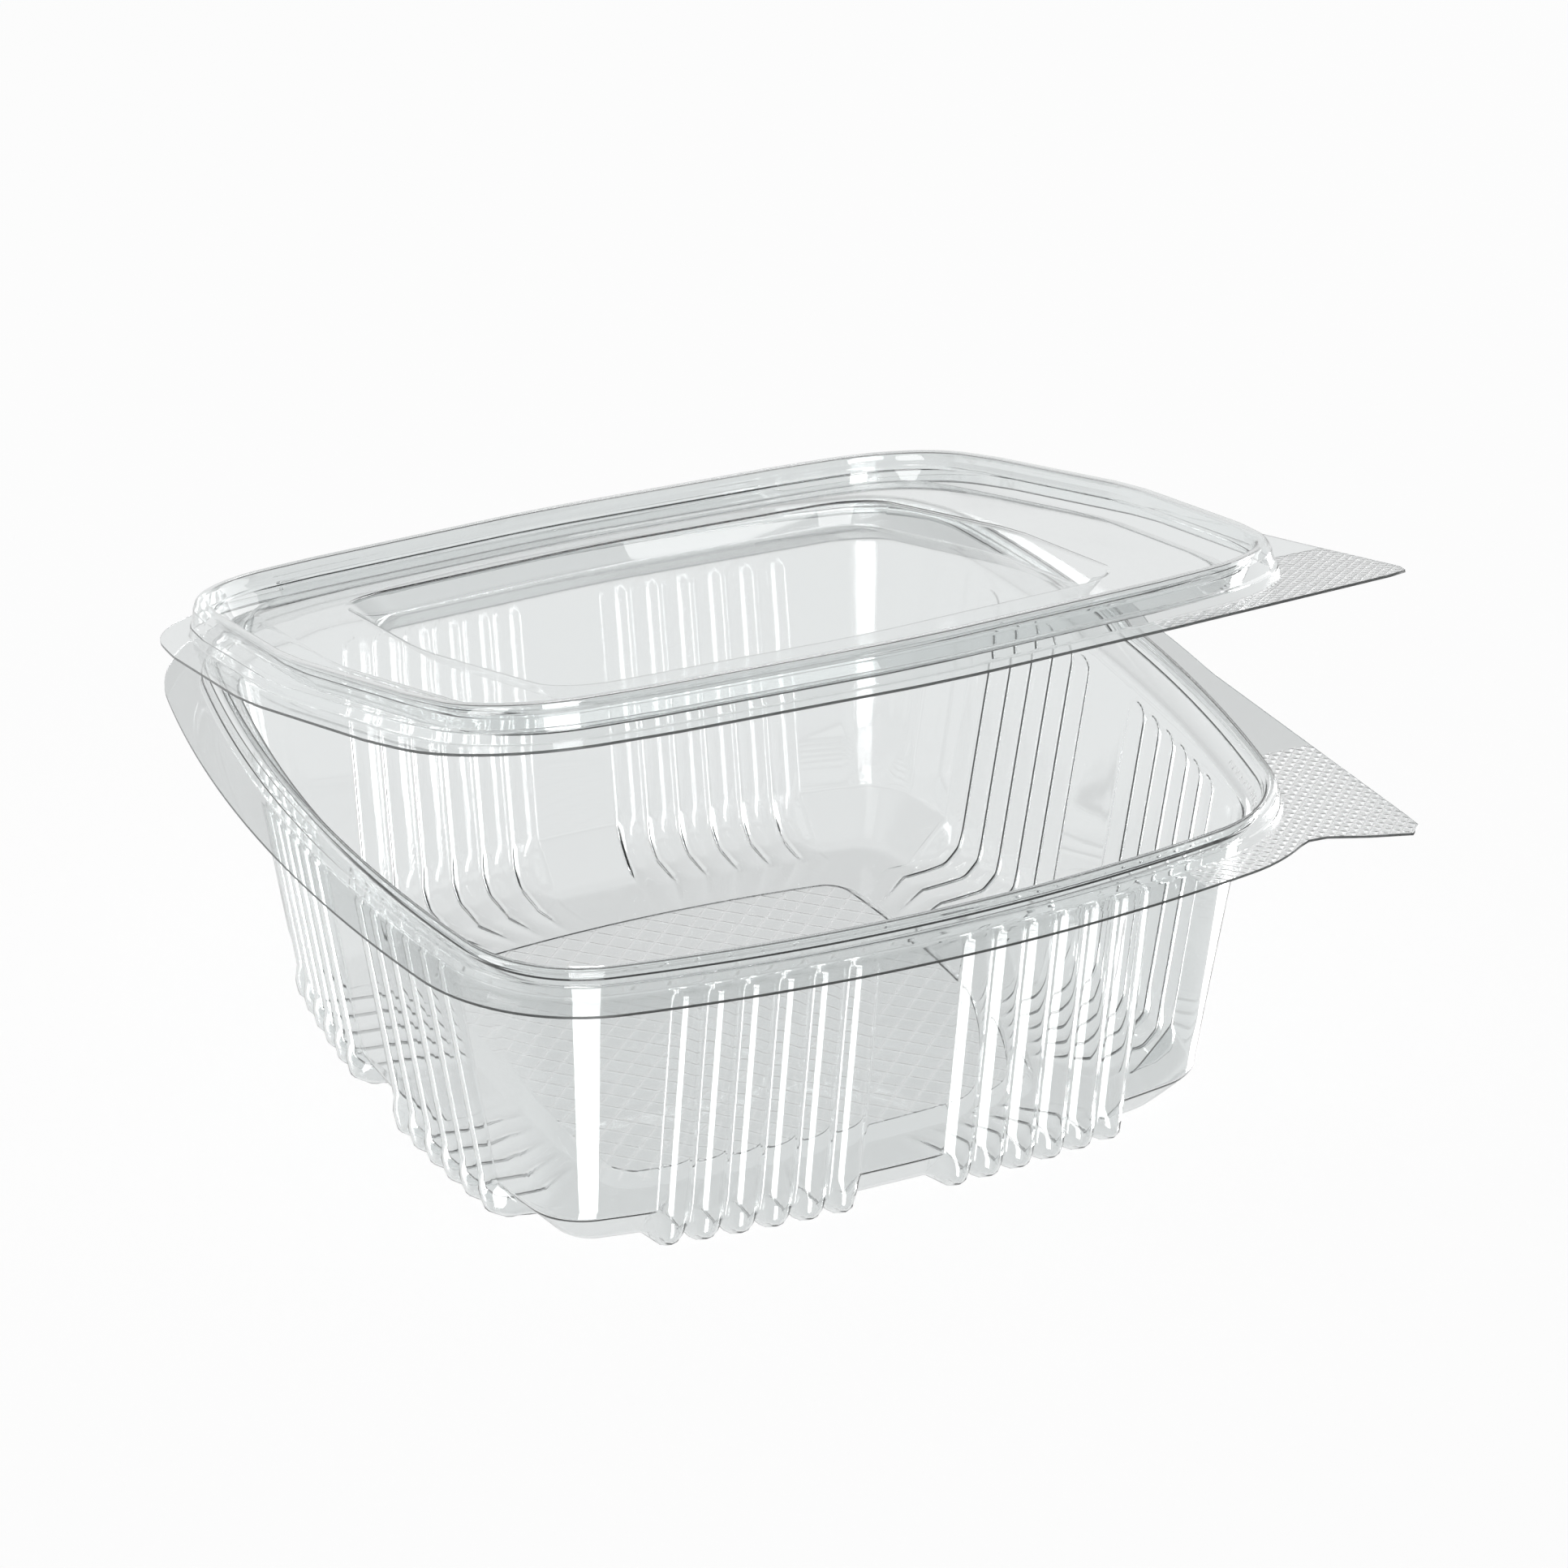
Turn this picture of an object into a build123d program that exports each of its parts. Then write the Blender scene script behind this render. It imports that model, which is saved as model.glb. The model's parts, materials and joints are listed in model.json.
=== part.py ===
"""A clear hinged food pack: a fluted square tub and its lid, formed from one sheet and folded at the back.

Millimetres, +Z up. The tub stands on z = 0, its middle at the origin, its front -Y and the fold at +Y.
Profiles are lists of (inset, height): the inset is measured from the flange edge towards the middle.
"""
from build123d import *
import math
import os

# Sheet and plan
SHEET = 0.45
FLANGE_HALF = 83.2
SIDE_RADIUS = 290.0
CORNER_RADIUS = 30.0
FLANGE_TOP = 55.0

# Tub rim: a hollow bead inside the flange, then a narrow ledge at the mouth
BEAD_INSET = 6.0
BEAD_HEIGHT = 4.2
BEAD_CREST = 1.3
BEAD_OUTER_LEAN = 1.3
BEAD_INNER_LEAN = 2.4
BEAD_EDGE = 0.9
LEDGE_DROP = 0.8
LEDGE_WIDTH = 1.2

# Tub wall, rounded foot and floor
WALL_LEAN = 7.3
CREASE_HEIGHT = 7.0
HEEL_RUN = 7.2
STAND_HALF = 47.0
STAND_WIDTH = 2.0
STAND_CORNER = 9.0
PANEL_RUN = 4.0
PANEL_RISE = 1.6

# Flutes: round ribs pushed out of the wall, six each side of the middle of every wall
FLUTES_PER_GROUP = 6
FLUTE_PITCH = 5.6
FLUTE_FIRST = 10.4
FLUTE_DEPTH = 1.5
FLUTE_TOP_GAP = 3.0
FLUTE_TOP_RUN = 4.0
FLUTE_DROP = 1.0
FLUTE_KEEL = 2.3

# Lid: a bead that covers the tub's bead, a trough, a raised ring and a sunk window
LID_CLEARANCE = 0.5
FLANGE_GAP = 0.15
LID_BEAD_HEIGHT = 6.0
LID_BEAD_CREST = 1.6
LID_BEAD_EDGE = 1.0
LID_STEP_HEIGHT = 2.3
LID_STEP_WIDTH = 0.5
LID_INNER_LEAN = 2.8
TROUGH_HEIGHT = 0.4
TROUGH_WIDTH = 1.4
RING_RUN = 3.4
RING_HEIGHT = 2.6
WINDOW_HALF = 52.8
WINDOW_CORNER = 11.0
WINDOW_RUN = 3.4
WINDOW_DROP = 3.4

# Finger tabs at the front right corner, and the fold at the back
TAB_START = -12.0
TAB_TIP = (86.4, -79.1)
TAB_TIP_RADIUS = 3.0
TAB_NOTCH = (64.0, -69.6)
TAB_NOTCH_RADIUS = 5.0
LID_TAB_TIP = (86.2, -75.2)
LID_TAB_FRONT = 46.0
FOLD_REACH = 4.2
FOLD_HALF = 46.0
FOLD_GAP = 0.2
LID_AJAR = 15.0

FOLD_Y = FLANGE_HALF + FOLD_REACH
FOLD_Z = FLANGE_TOP + FLANGE_GAP / 2
LID_Z = FLANGE_TOP + FLANGE_GAP + SHEET
LEDGE_Z = FLANGE_TOP - LEDGE_DROP
BOW_REACH = SIDE_RADIUS - FLANGE_HALF


def corner_place(reach, bow, corner):
    """Distance of a corner's centre from both middle lines, and the angle at which it meets the side."""
    middle = (math.sqrt(2 * (bow - corner) ** 2 - reach**2) - reach) / 2
    return middle, math.degrees(math.atan2(middle, reach + middle))


def bowed_square(half, bow, corner, z=0.0):
    """Face at height z with four bowed sides and four round corners."""
    middle, lean = corner_place(bow - half, bow, corner)
    side = CenterArc((0, bow - half), bow, -90 - lean, 2 * lean)
    turn = CenterArc((middle, -middle), corner, -90 + lean, 90 - 2 * lean)
    edges = [Rot(0, 0, 90 * k) * edge for k in range(4) for edge in (side, turn)]
    return Pos(0, 0, z) * make_face(edges)


def rim(inset, z=0.0):
    """Face at height z whose outline runs parallel to the flange edge."""
    return bowed_square(FLANGE_HALF - inset, SIDE_RADIUS - inset, CORNER_RADIUS - inset, z)


def parallel(points, gap):
    """The open line of points moved sideways to its left by gap, with mitred corners."""
    normals = []
    for (x0, y0), (x1, y1) in zip(points, points[1:]):
        length = math.hypot(x1 - x0, y1 - y0)
        normals.append(((y0 - y1) / length, (x1 - x0) / length))
    before = [normals[0]] + normals
    after = normals + [normals[-1]]
    moved = []
    for (x, y), (ax, ay), (bx, by) in zip(points, before, after):
        share = gap / (1 + ax * bx + ay * by)
        moved.append((x + share * (ax + bx), y + share * (ay + by)))
    return moved


def sheet_ring(points):
    """Ring of sheet carried round the rim, whose upper side has the open section points."""
    path = rim(0).face().outer_wire()
    across = Vector(0, 0, 1).cross(path % 0)
    upright = Plane(origin=path @ 0, x_dir=across, z_dir=across.cross(Vector(0, 0, 1)))
    section = points + parallel(points, -SHEET)[::-1]
    return sweep(upright * Polygon(*section, align=None), path=path)


def flange_plan(front, tip):
    """Flange face with the strip that reaches the fold and a finger tab from the front place to its tip."""
    depth = FLANGE_HALF / 2
    strip = Pos(0, FOLD_Y - FOLD_GAP - depth / 2) * Rectangle(2 * FOLD_HALF, depth)
    tab = Polygon((depth, TAB_START), front, tip, side_edge(TAB_START), align=None)
    plan = rim(0) + tab + strip
    return fillet(plan.vertices().sort_by_distance((*tip, 0))[0], TAB_TIP_RADIUS)


def side_edge(y):
    """Place of the flange edge on the right side at depth y."""
    return (FLANGE_HALF - SIDE_RADIUS + math.sqrt(SIDE_RADIUS**2 - y**2), y)


def rim_section():
    """Upper side of the tub's bead and ledge."""
    crest_in = BEAD_INSET + BEAD_OUTER_LEAN
    crest_out = crest_in + BEAD_CREST
    ledge = crest_out + BEAD_INNER_LEAN
    top = FLANGE_TOP + BEAD_HEIGHT
    return [
        (BEAD_INSET - SHEET, FLANGE_TOP),
        (BEAD_INSET, FLANGE_TOP),
        (crest_in - BEAD_EDGE / 2, top - BEAD_EDGE),
        (crest_in, top),
        (crest_out, top),
        (crest_out + BEAD_EDGE / 2, top - BEAD_EDGE),
        (ledge, LEDGE_Z),
        (ledge + LEDGE_WIDTH, LEDGE_Z),
    ]


def wall_levels(shift):
    """Plain tub side, moved in by shift: ledge, top of the flutes, their full start, crease and foot."""
    slope = WALL_LEAN / (LEDGE_Z - CREASE_HEIGHT)
    top = rim_section()[-1][0] - SHEET / 2
    flute_top = LEDGE_Z - FLUTE_TOP_GAP
    heights = [LEDGE_Z, flute_top, flute_top - FLUTE_TOP_RUN, CREASE_HEIGHT]
    side = [(top + slope * (LEDGE_Z - z), z) for z in heights]
    foot = (side[-1][0] + HEEL_RUN, 0)
    moved = parallel(side + [foot, (FLANGE_HALF, 0)], shift)
    moved[0] = (moved[1][0] - slope * FLUTE_TOP_GAP, LEDGE_Z)
    return moved[:-1]


def on_side(angle, level, out=0):
    """Place on the front side at this angle and level: the plain wall or, with out 1, a flute's keel."""
    radius = SIDE_RADIUS - level[0] + out * FLUTE_DEPTH
    across = radius * math.sin(angle)
    return Vector(across, BOW_REACH - radius * math.cos(angle), level[1] - out * FLUTE_DROP)


def smooth_arcs(level):
    """The front side's three smooth stretches at this level and the corner on its right."""
    corner = CORNER_RADIUS - level[0]
    middle, lean = corner_place(BOW_REACH, SIDE_RADIUS - level[0], corner)
    side_end = math.radians(lean)
    first = (FLUTE_FIRST - FLUTE_PITCH / 2) / SIDE_RADIUS
    last = first + FLUTES_PER_GROUP * FLUTE_PITCH / SIDE_RADIUS
    arcs = []
    for start, end in ((-side_end, -last), (-first, first), (last, side_end)):
        arcs.append(ThreePointArc(*[on_side(angle, level) for angle in (start, (start + end) / 2, end)]))
    arcs.append(Pos(0, 0, level[1]) * CenterArc((middle, -middle), corner, -90 + lean, 90 - 2 * lean))
    return arcs


def patch(*points):
    """Flat face with these corners."""
    return Face(Wire.make_polygon(points, close=True))


def flute_faces(k, shift):
    """Facets of the k-th flute right of the front's middle, and its lines in the block's top and bottom."""
    ledge, top, full, crease, foot = wall_levels(shift)
    share = FLUTE_DROP / (crease[1] - foot[1])
    low = (foot[0] + share * (crease[0] - foot[0]), foot[1] + FLUTE_DROP)
    stand = (FLANGE_HALF - STAND_HALF, foot[1])
    place = FLUTE_FIRST + k * FLUTE_PITCH
    widths = (-FLUTE_PITCH, -FLUTE_KEEL, FLUTE_KEEL, FLUTE_PITCH)
    a, b, c, d = [(place + width / 2) / SIDE_RADIUS for width in widths]
    rows = []
    for level in (full, crease, low):
        rows.append([on_side(a, level), on_side(b, level, 1), on_side(c, level, 1), on_side(d, level)])
    upper = [on_side(a, ledge), on_side(d, ledge)]
    start = [on_side(a, top), on_side(d, top)]
    lower = rows[-1]
    ends = [on_side(a, stand), on_side(d, stand)]
    faces = []
    if k == 0:
        lower[0] = ends[0] = on_side(a, foot)
    else:
        faces.append(patch(lower[0], lower[1], ends[0]))
    if k == FLUTES_PER_GROUP - 1:
        lower[3] = ends[1] = on_side(d, foot)
    else:
        faces.append(patch(lower[3], lower[2], ends[1]))
    faces += [patch(upper[0], upper[1], start[1]), patch(upper[0], start[1], start[0])]
    faces += [patch(start[0], *rows[0][:2]), patch(start[0], *rows[0][1:3])]
    faces += [patch(start[0], rows[0][2], start[1]), patch(start[1], *rows[0][2:])]
    for row, below in zip(rows, rows[1:]):
        for i in range(3):
            faces += [patch(row[i], row[i + 1], below[i + 1]), patch(row[i], below[i + 1], below[i])]
    return faces, Polyline(upper).edges(), Polyline(ends[0], lower[1], lower[2], ends[1]).edges()


def fluted_block(shift):
    """Block inside the tub's side, with a flat top and bottom and its side moved in by shift."""
    arcs = [smooth_arcs(level) for level in wall_levels(shift)]
    faces = []
    for upper, lower in zip(arcs, arcs[1:]):
        for p, q in zip(upper, lower):
            faces += Shell.make_loft([Wire([p]), Wire([q])], ruled=True).faces()
    top = list(arcs[0])
    bottom = list(arcs[-1])
    for k in range(FLUTES_PER_GROUP):
        for found, kept in zip(flute_faces(k, shift), (faces, top, bottom)):
            kept += list(found) + [item.mirror(Plane.YZ) for item in found]
    faces = [Rot(0, 0, 90 * k) * face for face in faces for k in range(4)]
    for line in (top, bottom):
        faces.append(Face(Wire([Rot(0, 0, 90 * k) * edge for edge in line for k in range(4)])))
    return Solid(Shell(faces))


def tub_body(shift):
    """Tub as a filled block, with its outer side moved in by shift and its floor panel raised."""
    foot = STAND_HALF - STAND_WIDTH + shift
    top = foot - PANEL_RUN
    panel = loft(
        [
            bowed_square(foot, foot + BOW_REACH, STAND_CORNER, shift),
            bowed_square(top, top + BOW_REACH, STAND_CORNER - PANEL_RUN, shift + PANEL_RISE),
        ],
        ruled=True,
    )
    return Part() + fluted_block(shift) - panel


def make_tub():
    """Tub with its rim, flange, finger tab and fluted wall."""
    shell = tub_body(0.0) - tub_body(SHEET)
    plan = flange_plan(TAB_NOTCH, TAB_TIP)
    plan = fillet(plan.vertices().sort_by_distance((*TAB_NOTCH, 0))[0], TAB_NOTCH_RADIUS)
    flange = Pos(0, 0, FLANGE_TOP - SHEET) * extrude(plan - rim(BEAD_INSET), SHEET)
    return shell + sheet_ring(rim_section()) + flange


def lid_section():
    """Upper side of the lid's bead and trough, with heights above the lid's flange."""
    root = BEAD_INSET - LID_CLEARANCE - SHEET
    step = root + LID_STEP_WIDTH / 2
    crest_in = step + 2 * LID_STEP_WIDTH + LID_BEAD_EDGE / 2
    crest_out = crest_in + LID_BEAD_CREST
    trough = crest_out + LID_INNER_LEAN
    ring = trough + TROUGH_WIDTH + RING_RUN
    return [
        (root - SHEET, 0),
        (root, 0),
        (step, LID_STEP_HEIGHT),
        (step + LID_STEP_WIDTH, LID_STEP_HEIGHT + LID_STEP_WIDTH / 2),
        (crest_in - LID_BEAD_EDGE / 2, LID_BEAD_HEIGHT - LID_BEAD_EDGE),
        (crest_in, LID_BEAD_HEIGHT),
        (crest_out, LID_BEAD_HEIGHT),
        (crest_out + LID_BEAD_EDGE / 2, LID_BEAD_HEIGHT - LID_BEAD_EDGE),
        (trough, TROUGH_HEIGHT),
        (trough + TROUGH_WIDTH, TROUGH_HEIGHT),
        (ring, RING_HEIGHT),
        (ring + LID_STEP_WIDTH, RING_HEIGHT),
    ]


def window_block(points):
    """Block under the sunk window, between the two section points."""
    (edge, top), (foot, bottom) = points
    return loft(
        [
            bowed_square(FLANGE_HALF - edge, SIDE_RADIUS, WINDOW_CORNER, top),
            bowed_square(FLANGE_HALF - foot, SIDE_RADIUS, WINDOW_CORNER - WINDOW_RUN / 2, bottom),
        ],
        ruled=True,
    )


def make_lid():
    """Lid closed on the tub, with its flange, finger tab, bead, raised ring and sunk window."""
    section = lid_section()
    edge = FLANGE_HALF - WINDOW_HALF
    floor = RING_HEIGHT - WINDOW_DROP
    slope = [(0, RING_HEIGHT), (edge, RING_HEIGHT), (edge + WINDOW_RUN, floor), (FLANGE_HALF, floor)]
    plate = Pos(0, 0, RING_HEIGHT - SHEET) * extrude(rim(section[-2][0] + LID_STEP_WIDTH / 2), SHEET)
    top = plate + window_block(parallel(slope, -SHEET)[1:3]) - window_block(slope[1:3])
    front = side_edge(LID_TAB_FRONT)
    plan = flange_plan((front[1], -front[0]), LID_TAB_TIP)
    flange = Pos(0, 0, -SHEET) * extrude(plan - rim(section[1][0]), SHEET)
    return Pos(0, 0, LID_Z) * (flange + sheet_ring(section) + top)


def main():
    """Write one STEP file for the tub and one for the lid, which stands ajar."""
    os.makedirs("parts", exist_ok=True)
    fold = Axis((0, FOLD_Y, FOLD_Z), (-1, 0, 0))
    export_step(make_tub(), "parts/tub.step")
    export_step(make_lid().rotate(fold, LID_AJAR), "parts/lid.step")


main()
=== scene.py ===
import json
import math

import bpy
import numpy as np
from mathutils import Matrix, Vector


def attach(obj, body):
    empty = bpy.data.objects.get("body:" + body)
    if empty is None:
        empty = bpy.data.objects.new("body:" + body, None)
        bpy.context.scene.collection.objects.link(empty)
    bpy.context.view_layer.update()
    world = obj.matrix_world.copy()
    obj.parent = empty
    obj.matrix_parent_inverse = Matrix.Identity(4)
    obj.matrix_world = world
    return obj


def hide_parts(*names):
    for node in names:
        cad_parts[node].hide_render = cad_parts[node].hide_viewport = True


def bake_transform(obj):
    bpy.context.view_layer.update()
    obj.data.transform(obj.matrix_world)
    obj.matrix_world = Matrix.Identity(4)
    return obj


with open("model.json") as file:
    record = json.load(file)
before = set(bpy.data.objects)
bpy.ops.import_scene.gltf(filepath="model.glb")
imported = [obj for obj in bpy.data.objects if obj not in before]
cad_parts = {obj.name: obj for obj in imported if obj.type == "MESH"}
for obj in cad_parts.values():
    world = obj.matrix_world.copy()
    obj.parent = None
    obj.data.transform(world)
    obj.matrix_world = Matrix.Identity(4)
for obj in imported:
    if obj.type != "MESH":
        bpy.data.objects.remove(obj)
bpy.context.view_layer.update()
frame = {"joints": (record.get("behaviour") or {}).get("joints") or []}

# The pack's sizes in millimetres, in the frame's own axes: front -Y, fold at +Y, feet on z = 0
MM = 0.001
SHEET = 0.45
FLANGE_HALF = 83.2
SIDE_RADIUS = 290.0
CORNER_RADIUS = 30.0
EDGE_INSET = 0.03
BOW_REACH = SIDE_RADIUS - FLANGE_HALF
FLANGE_TOP = 55.0
FLANGE_MID = FLANGE_TOP - SHEET / 2

# Tub wall and floor, along the middle of the sheet
LEDGE_Z = FLANGE_TOP - 0.8 - SHEET / 2
WALL_TOP_INSET = 12.2
WALL_SLOPE = 7.3 / 47.2
CREASE_Z = 8.0
HEEL_RUN = 7.2
STAND_INSET = 39.4
STAND_CORNER = 6.5
PANEL_FOOT = 40.0
PANEL_INSET = 42.6
PANEL_FLAT = PANEL_INSET + 1.2
PANEL_RISE = 1.6
PANEL_CORNER = 4.0
HEEL_CORNER = 4.5
HEEL_ROWS = 34

# Flutes and feet, two groups of flutes a side; the steps share out the columns over one flute
FLUTES = 6
FLUTE_PITCH = 5.8
FLUTE_FIRST = 10.0
FLUTE_DEPTH = 1.2
FLUTE_TOP = 51.4
RIDGE_RADIUS = 0.8
FOOT_DEPTH = 1.6
FOOT_TOP = 8.0
FOOT_STEP = 2.6
FOOT_RIDGE_RADIUS = 0.8
FLUTE_STEPS = (-1.0, -0.91, -0.8, -0.6, -0.3, 0.0, 0.3, 0.6, 0.8, 0.91)
GROUP_START = FLUTE_FIRST - FLUTE_PITCH / 2
GROUP_END = GROUP_START + FLUTES * FLUTE_PITCH
BESIDE_GROUP = (0.25, 0.6, 1.2)
SIDE_SPAN = GROUP_END + BESIDE_GROUP[-1]
TURN_COLUMNS = 26
MID_COLUMNS = 4

# Finger tabs and fold
TAB_START = -12.0
TAB_TIP = (86.4, -79.1)
TAB_NOTCH = (64.0, -69.6)
TAB_TIP_RADIUS = 3.0
TAB_NOTCH_RADIUS = 5.0
LID_TAB_TIP = (86.2, -75.2)
LID_TAB_FRONT = 46.0
FOLD_HALF = 46.0
FOLD_GAP = 0.2
FOLD_WIDTH = 1.2
FOLD_PULL = 1.5
FOLD_STEPS = 12

# Lid
LID_RING_OUTER = 16.1
LID_RING_INNER = 30.4
WINDOW_CORNER = 11.0
WINDOW_CORNER_EASE = 0.4

hinge = frame["joints"][0]
FOLD_Y = hinge["pos_m"][1] / MM
FOLD_Z = hinge["pos_m"][2] / MM
LID_AJAR = -math.radians(hinge["range_deg"][0])
LID_Z = FLANGE_TOP + 0.15 + SHEET / 2


# Profiles

def rounded(points, steps=4):
    """Points of an open line whose corners, given as (inset, height, radius), are rounded off."""
    line = [points[0][:2]]
    for (ax, ay, _), (bx, by, radius), (cx, cy, _) in zip(points, points[1:], points[2:]):
        back = Vector((ax - bx, ay - by))
        ahead = Vector((cx - bx, cy - by))
        half_turn = back.angle(ahead) / 2
        cut = min(radius / math.tan(half_turn), back.length * 0.49, ahead.length * 0.49)
        start = Vector((bx, by)) + back.normalized() * cut
        end = Vector((bx, by)) + ahead.normalized() * cut
        corner = Vector((bx, by))
        for k in range(steps + 1):
            t = k / steps
            line.append(tuple(start * (1 - t) ** 2 + corner * 2 * t * (1 - t) + end * t * t))
    line.append(points[-1][:2])
    return line


def resampled(line, count):
    """The line as count points, which lie closest together at its start."""
    line = np.array(line)
    along = np.concatenate([[0], np.cumsum(np.hypot(*np.diff(line, axis=0).T))])
    stops = along[-1] * np.linspace(0, 1, count) ** 1.5
    return np.stack([np.interp(stops, along, line[:, k]) for k in (0, 1)], axis=1)


# Plan: every ring of the sheet has one point per column, side by side round the pack

def side_places(flutes):
    """Places of the columns along one side, from the middle of its bow."""
    if not flutes:
        return np.linspace(-SIDE_SPAN, SIDE_SPAN, 40)
    inner = GROUP_START - np.array(BESIDE_GROUP[::-1])
    middle = np.linspace(-inner[0], inner[0], MID_COLUMNS + 2)[1:-1]
    turns = [k + (step + 1) / 2 for k in range(FLUTES) for step in FLUTE_STEPS]
    group = GROUP_START + FLUTE_PITCH * np.array(turns)
    right = np.concatenate([inner, group, [GROUP_END], GROUP_END + np.array(BESIDE_GROUP)])
    return np.concatenate([-right[::-1], middle, right])


def ring(plain, corner, places, inset=None):
    """Plan points of one ring at the plain inset; each column of a side may have an inset of its own."""
    bow = SIDE_RADIUS - plain
    middle = (math.sqrt(2 * (bow - corner) ** 2 - BOW_REACH**2) - BOW_REACH) / 2
    lean = math.atan2(middle, BOW_REACH + middle)
    span = min(SIDE_SPAN / bow, 0.985 * lean)
    straight = (lean - span) * bow
    turn = (math.pi / 2 - 2 * lean) * corner
    stops = np.linspace(0, 1, TURN_COLUMNS + 2)[1:-1] * (2 * straight + turn)
    on_side = span + stops / bow
    on_turn = lean + (stops - straight) / corner
    before = np.stack([bow * np.sin(on_side), BOW_REACH - bow * np.cos(on_side)], axis=1)
    round_off = np.stack([middle + corner * np.sin(on_turn), -middle - corner * np.cos(on_turn)], axis=1)
    after = -before[::-1, ::-1]
    turn_points = np.where(stops[:, None] < straight, before, round_off)
    turn_points = np.where(stops[:, None] > straight + turn, after, turn_points)
    radius = SIDE_RADIUS - (plain if inset is None else inset)
    turned = places * span / SIDE_SPAN
    side_points = np.stack([radius * np.sin(turned), BOW_REACH - radius * np.cos(turned)], axis=1)
    quarter = np.concatenate([side_points, turn_points])
    quarters = []
    for k in range(4):
        c, s = round(math.cos(k * math.pi / 2)), round(math.sin(k * math.pi / 2))
        quarters.append(quarter @ np.array([[c, s], [-s, c]]))
    return np.concatenate(quarters)


def arc(centre, start, end, steps=10):
    """Points on the shorter arc round centre from start to end."""
    centre, start, end = Vector(centre), Vector(start), Vector(end)
    a = math.atan2(*(start - centre).yx)
    turn = (math.atan2(*(end - centre).yx) - a + math.pi) % (2 * math.pi) - math.pi
    radius = (start - centre).length
    angles = [a + turn * k / steps for k in range(steps + 1)]
    return [(centre.x + radius * math.cos(t), centre.y + radius * math.sin(t)) for t in angles]


def side_edge(y):
    """Place of the flange edge on the right side at depth y."""
    return (FLANGE_HALF - SIDE_RADIUS + math.sqrt(SIDE_RADIUS**2 - y**2), y)


def round_tip(before, tip, after, radius):
    """Arc that rounds off the corner at tip."""
    tip = Vector(tip)
    to_before = (Vector(before) - tip).normalized()
    to_after = (Vector(after) - tip).normalized()
    half_turn = to_before.angle(to_after) / 2
    centre = tip + (to_before + to_after).normalized() * radius / math.sin(half_turn)
    cut = radius / math.tan(half_turn)
    return arc(centre, tip + to_before * cut, tip + to_after * cut)


def tub_tab():
    """Outline of the tub's finger tab, with the hollow curve that leads into the flange corner."""
    middle = (math.sqrt(2 * (SIDE_RADIUS - CORNER_RADIUS) ** 2 - BOW_REACH**2) - BOW_REACH) / 2
    corner = Vector((middle, -middle))
    notch, tip = Vector(TAB_NOTCH), Vector(TAB_TIP)
    along = (tip - notch).normalized()
    outward = Vector((along.y, -along.x))
    start = notch + outward * TAB_NOTCH_RADIUS - corner
    reach = CORNER_RADIUS + TAB_NOTCH_RADIUS
    shift = -start.dot(along) + math.sqrt(start.dot(along) ** 2 - start.length_squared + reach**2)
    centre = corner + start + along * shift
    on_corner = corner + (centre - corner) * CORNER_RADIUS / reach
    hollow = arc(centre, on_corner, centre - outward * TAB_NOTCH_RADIUS)
    back_end = side_edge(TAB_START)
    return [(0, 0)] + hollow + round_tip(TAB_NOTCH, TAB_TIP, back_end, TAB_TIP_RADIUS) + [back_end]


def lid_tab():
    """Outline of the lid's finger tab, whose front edge runs straight on from the flange."""
    front = (LID_TAB_FRONT, -side_edge(LID_TAB_FRONT)[0])
    back_end = side_edge(TAB_START)
    return [(0, 0), front] + round_tip(front, LID_TAB_TIP, back_end, TAB_TIP_RADIUS) + [back_end]


def flange_edge(inner, outer, tab):
    """The flange's cut edge: each column runs on past the outer ring to the tab or the fold."""
    strip_end = FOLD_Y - FOLD_WIDTH
    strip = [(FOLD_HALF, 0), (FOLD_HALF, strip_end), (-FOLD_HALF, strip_end), (-FOLD_HALF, 0)]
    way = outer - inner
    far = np.ones(len(inner))
    for shape in (np.array(tab), np.array(strip)):
        for p, q in zip(shape, np.roll(shape, -1, axis=0)):
            along = q - p
            det = way[:, 0] * -along[1] + way[:, 1] * along[0]
            gap = p - inner
            with np.errstate(divide="ignore", invalid="ignore"):
                t = (gap[:, 0] * -along[1] + gap[:, 1] * along[0]) / det
                u = (way[:, 0] * gap[:, 1] - way[:, 1] * gap[:, 0]) / det
            far = np.where((u >= 0) & (u <= 1) & (t > far), t, far)
    return inner + way * far[:, None]


# Sheet: a grid of points along the middle of the sheet becomes a closed skin of even thickness

def row_faces(index, fine, kept):
    """Faces between neighbouring rows of index; a row that isn't fine has only its kept columns."""
    columns = index.shape[1]
    faces = []
    for k in range(len(index) - 1):
        stops = np.arange(columns) if fine[k] and fine[k + 1] else np.flatnonzero(kept)
        for j, end in zip(stops, np.append(stops[1:], stops[0] + columns)):
            span = np.arange(j, end + 1) % columns
            ends = span[[0, -1]]
            before = index[k, span if fine[k] else ends]
            after = index[k + 1, span if fine[k + 1] else ends]
            faces.append(before.tolist() + after[::-1].tolist())
    return faces


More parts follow.
